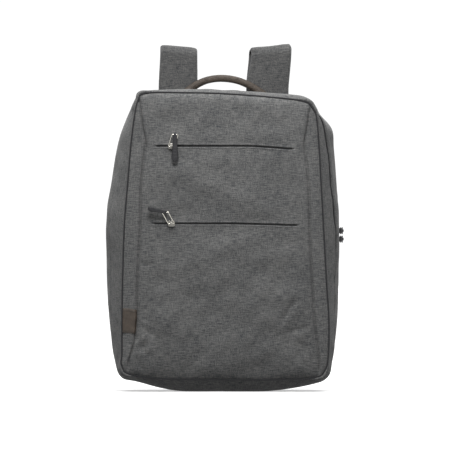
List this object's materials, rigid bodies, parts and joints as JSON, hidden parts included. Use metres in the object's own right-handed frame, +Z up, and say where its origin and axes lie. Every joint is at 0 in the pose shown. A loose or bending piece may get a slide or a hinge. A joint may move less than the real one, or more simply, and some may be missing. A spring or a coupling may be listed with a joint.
{
  "type": "laptop backpack",
  "caption": "Grey canvas laptop backpack with a fold-open front shell, two front pocket zips, padded shoulder straps and a brown leather carry handle.",
  "frame": {"origin": "centre of the flat base that the bag stands on", "axes": "+Z up, -Y towards the front pockets, +X to the right seen from the front"},
  "size_m": [0.3415, 0.1686, 0.494],
  "materials": {
    "grey_canvas": "heathered two-tone plain weave",
    "piping": "bound seam cord in darker weave",
    "back_mesh": "air mesh over foam",
    "lining": "smooth lining",
    "zip_tape": "woven zip tape with nylon coil",
    "webbing": "ribbed webbing",
    "brown_leather": "grained brown leather",
    "zinc": "plated, slightly worn",
    "rubber_pull": "matt moulded rubber",
    "buckle": "moulded acetal",
    "board": "stiffener sheet"
  },
  "bodies": {
    "pack_body": {"anchor_tab_left": "grey_canvas", "anchor_tab_right": "grey_canvas", "back_pad_left": "back_mesh", "back_pad_lower": "back_mesh", "back_pad_right": "back_mesh", "back_panel": "back_mesh", "base_board": "board", "bottom_gusset": "grey_canvas", "front_base": "grey_canvas", "front_piping_lower": "piping", "handle_anchor_left": "brown_leather", "handle_anchor_right": "brown_leather", "laptop_sleeve": "lining", "lower_webbing_left": "webbing", "lower_webbing_right": "webbing", "main_zip_rear": "zip_tape", "rear_piping": "piping", "side_gusset_left": "grey_canvas", "side_gusset_right": "grey_canvas", "strap_root_left": "grey_canvas", "strap_root_right": "grey_canvas", "top_gusset": "grey_canvas"},
    "front_shell": {"front_panel_upper": "grey_canvas", "front_panel_middle": "grey_canvas", "front_panel_lower": "grey_canvas", "front_strip_left": "grey_canvas", "front_strip_right": "grey_canvas", "front_gusset_left": "grey_canvas", "front_gusset_right": "grey_canvas", "front_gusset_top": "grey_canvas", "upper_zip_tape": "zip_tape", "lower_zip_tape": "zip_tape", "pocket_liner": "lining", "leather_patch": "brown_leather", "front_piping": "piping", "main_zip_front": "zip_tape"},
    "upper_slider": {"upper_zip_slider": "zinc"},
    "upper_bail": {"upper_bail": "zinc"},
    "upper_pull": {"upper_pull": "rubber_pull"},
    "lower_slider": {"lower_zip_slider": "zinc"},
    "lower_bail": {"lower_bail": "zinc"},
    "lower_pull": {"lower_pull": "rubber_pull"},
    "main_upper_slider": {"main_upper_slider": "zinc"},
    "main_upper_pull": {"main_upper_bail": "zinc", "main_upper_pull": "rubber_pull"},
    "main_lower_slider": {"main_lower_slider": "zinc"},
    "main_lower_pull": {"main_lower_bail": "zinc", "main_lower_pull": "rubber_pull"},
    "handle": {"handle_grip": "brown_leather"},
    "strap_left": {"shoulder_strap_left": "grey_canvas", "ladder_lock_left": "buckle", "webbing_tail_left": "webbing"},
    "strap_right": {"shoulder_strap_right": "grey_canvas", "ladder_lock_right": "buckle", "webbing_tail_right": "webbing"}
  },
  "joints": [
    {"name": "front_shell_fold", "type": "hinge", "parent": "pack_body", "child": "front_shell", "pos_m": [0, -0.069, 0.062], "axis": [1, 0, 0], "range_deg": [0, 45]},
    {"name": "handle_swing", "type": "hinge", "parent": "pack_body", "child": "handle", "pos_m": [0.0025, 0.058, 0.43], "axis": [1, 0, 0], "range_deg": [0, 60]},
    {"name": "strap_left_swing", "type": "hinge", "parent": "pack_body", "child": "strap_left", "pos_m": [-0.064, 0.078, 0.482], "axis": [1, 0, 0], "range_deg": [0, 25]},
    {"name": "strap_right_swing", "type": "hinge", "parent": "pack_body", "child": "strap_right", "pos_m": [0.064, 0.078, 0.482], "axis": [1, 0, 0], "range_deg": [0, 25]},
    {"name": "upper_zip_travel", "type": "slide", "parent": "front_shell", "child": "upper_slider", "axis": [1, 0, 0], "range_m": [-0.019, 0.169]},
    {"name": "upper_bail_swing", "type": "hinge", "parent": "upper_slider", "child": "upper_bail", "pos_m": [-0.073, -0.0726, 0.349], "axis": [1, 0, 0], "range_deg": [0, 165]},
    {"name": "upper_pull_hang", "type": "hinge", "parent": "upper_bail", "child": "upper_pull", "pos_m": [-0.068, -0.0726, 0.3655], "axis": [-1, 0, 0], "range_deg": [0, 165]},
    {"name": "lower_zip_travel", "type": "slide", "parent": "front_shell", "child": "lower_slider", "axis": [1, 0, 0], "range_m": [-0.022, 0.175]},
    {"name": "lower_bail_swing", "type": "hinge", "parent": "lower_slider", "child": "lower_bail", "pos_m": [-0.073, -0.0726, 0.239], "axis": [1, 0, 0], "range_deg": [0, 150]},
    {"name": "lower_pull_twist", "type": "hinge", "parent": "lower_bail", "child": "lower_pull", "pos_m": [-0.082, -0.0726, 0.2555], "axis": [1, 0, 0], "range_deg": [0, 30]},
    {"name": "main_upper_zip_travel", "type": "slide", "parent": "pack_body", "child": "main_upper_slider", "axis": [-0.0797, 0, 0.9968], "range_m": [0, 0.08]},
    {"name": "main_upper_pull_swing", "type": "hinge", "parent": "main_upper_slider", "child": "main_upper_pull", "pos_m": [0.1707, 0, 0.229], "axis": [0, 0, -1], "range_deg": [0, 165]},
    {"name": "main_lower_zip_travel", "type": "slide", "parent": "pack_body", "child": "main_lower_slider", "axis": [-0.02, 0, -0.9998], "range_m": [0, 0.08]},
    {"name": "main_lower_pull_swing", "type": "hinge", "parent": "main_lower_slider", "child": "main_lower_pull", "pos_m": [0.1707, 0, 0.217], "axis": [0, 0, -1], "range_deg": [0, 165]}
  ],
  "couplings": [
    {"joint": "upper_pull_hang", "follows": "upper_bail_swing", "ratio": 1}
  ]
}
